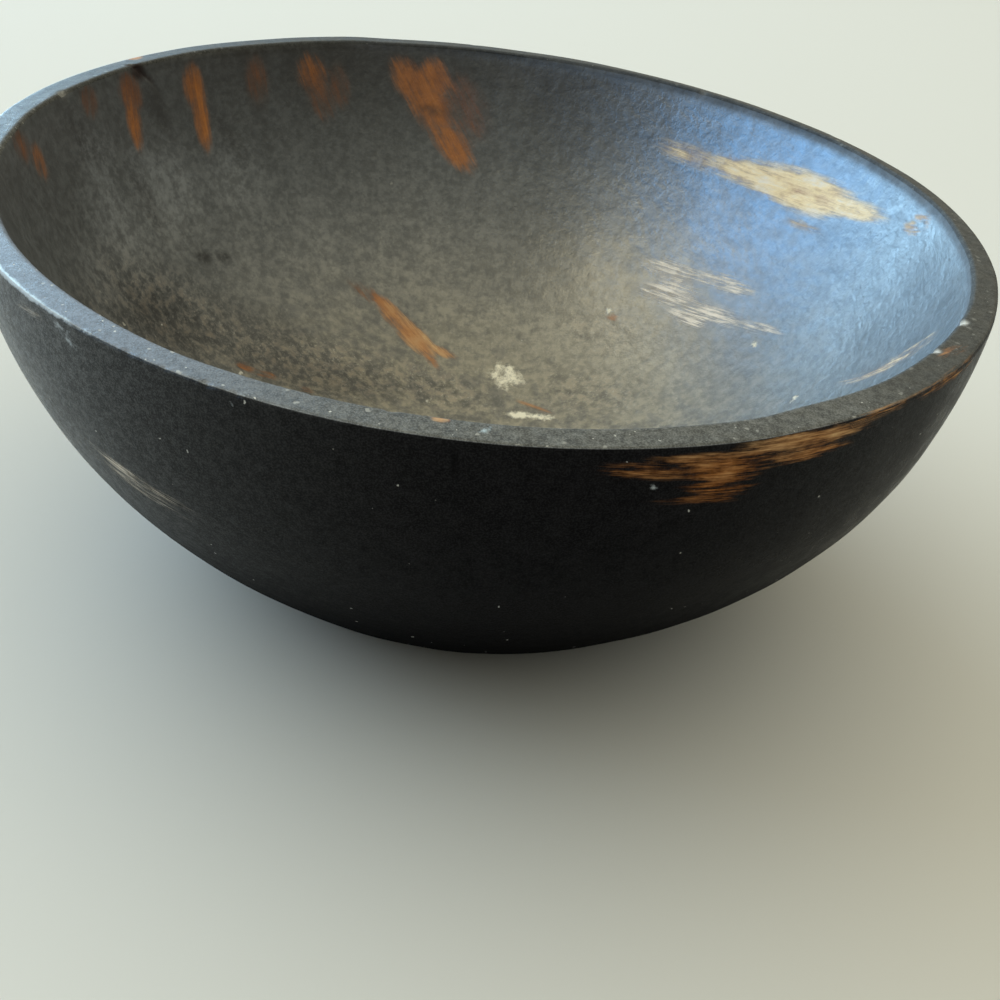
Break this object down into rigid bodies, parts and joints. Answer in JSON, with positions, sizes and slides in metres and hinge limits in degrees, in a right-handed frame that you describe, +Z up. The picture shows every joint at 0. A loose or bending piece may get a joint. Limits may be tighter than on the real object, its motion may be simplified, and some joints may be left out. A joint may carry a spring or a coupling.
{
  "type": "catchall bowl",
  "caption": "Round turned wooden bowl with a curved side, narrow flat rim and flat base, in a worn black finish, for keys, coins and other small things.",
  "frame": {"origin": "centre of the flat base, on the surface that the bowl stands on", "axes": "+Z up along the turning axis, out of the mouth; X and Y lie in the plane of the base, with -Y towards the picture's camera"},
  "size_m": [0.1796, 0.1796, 0.072],
  "materials": {
    "black_stained_wood": "black stain, matte outside and satin inside, rubbed through to brown wood in streaks"
  },
  "bodies": {
    "root": {"bowl": "black_stained_wood"}
  },
  "joints": []
}
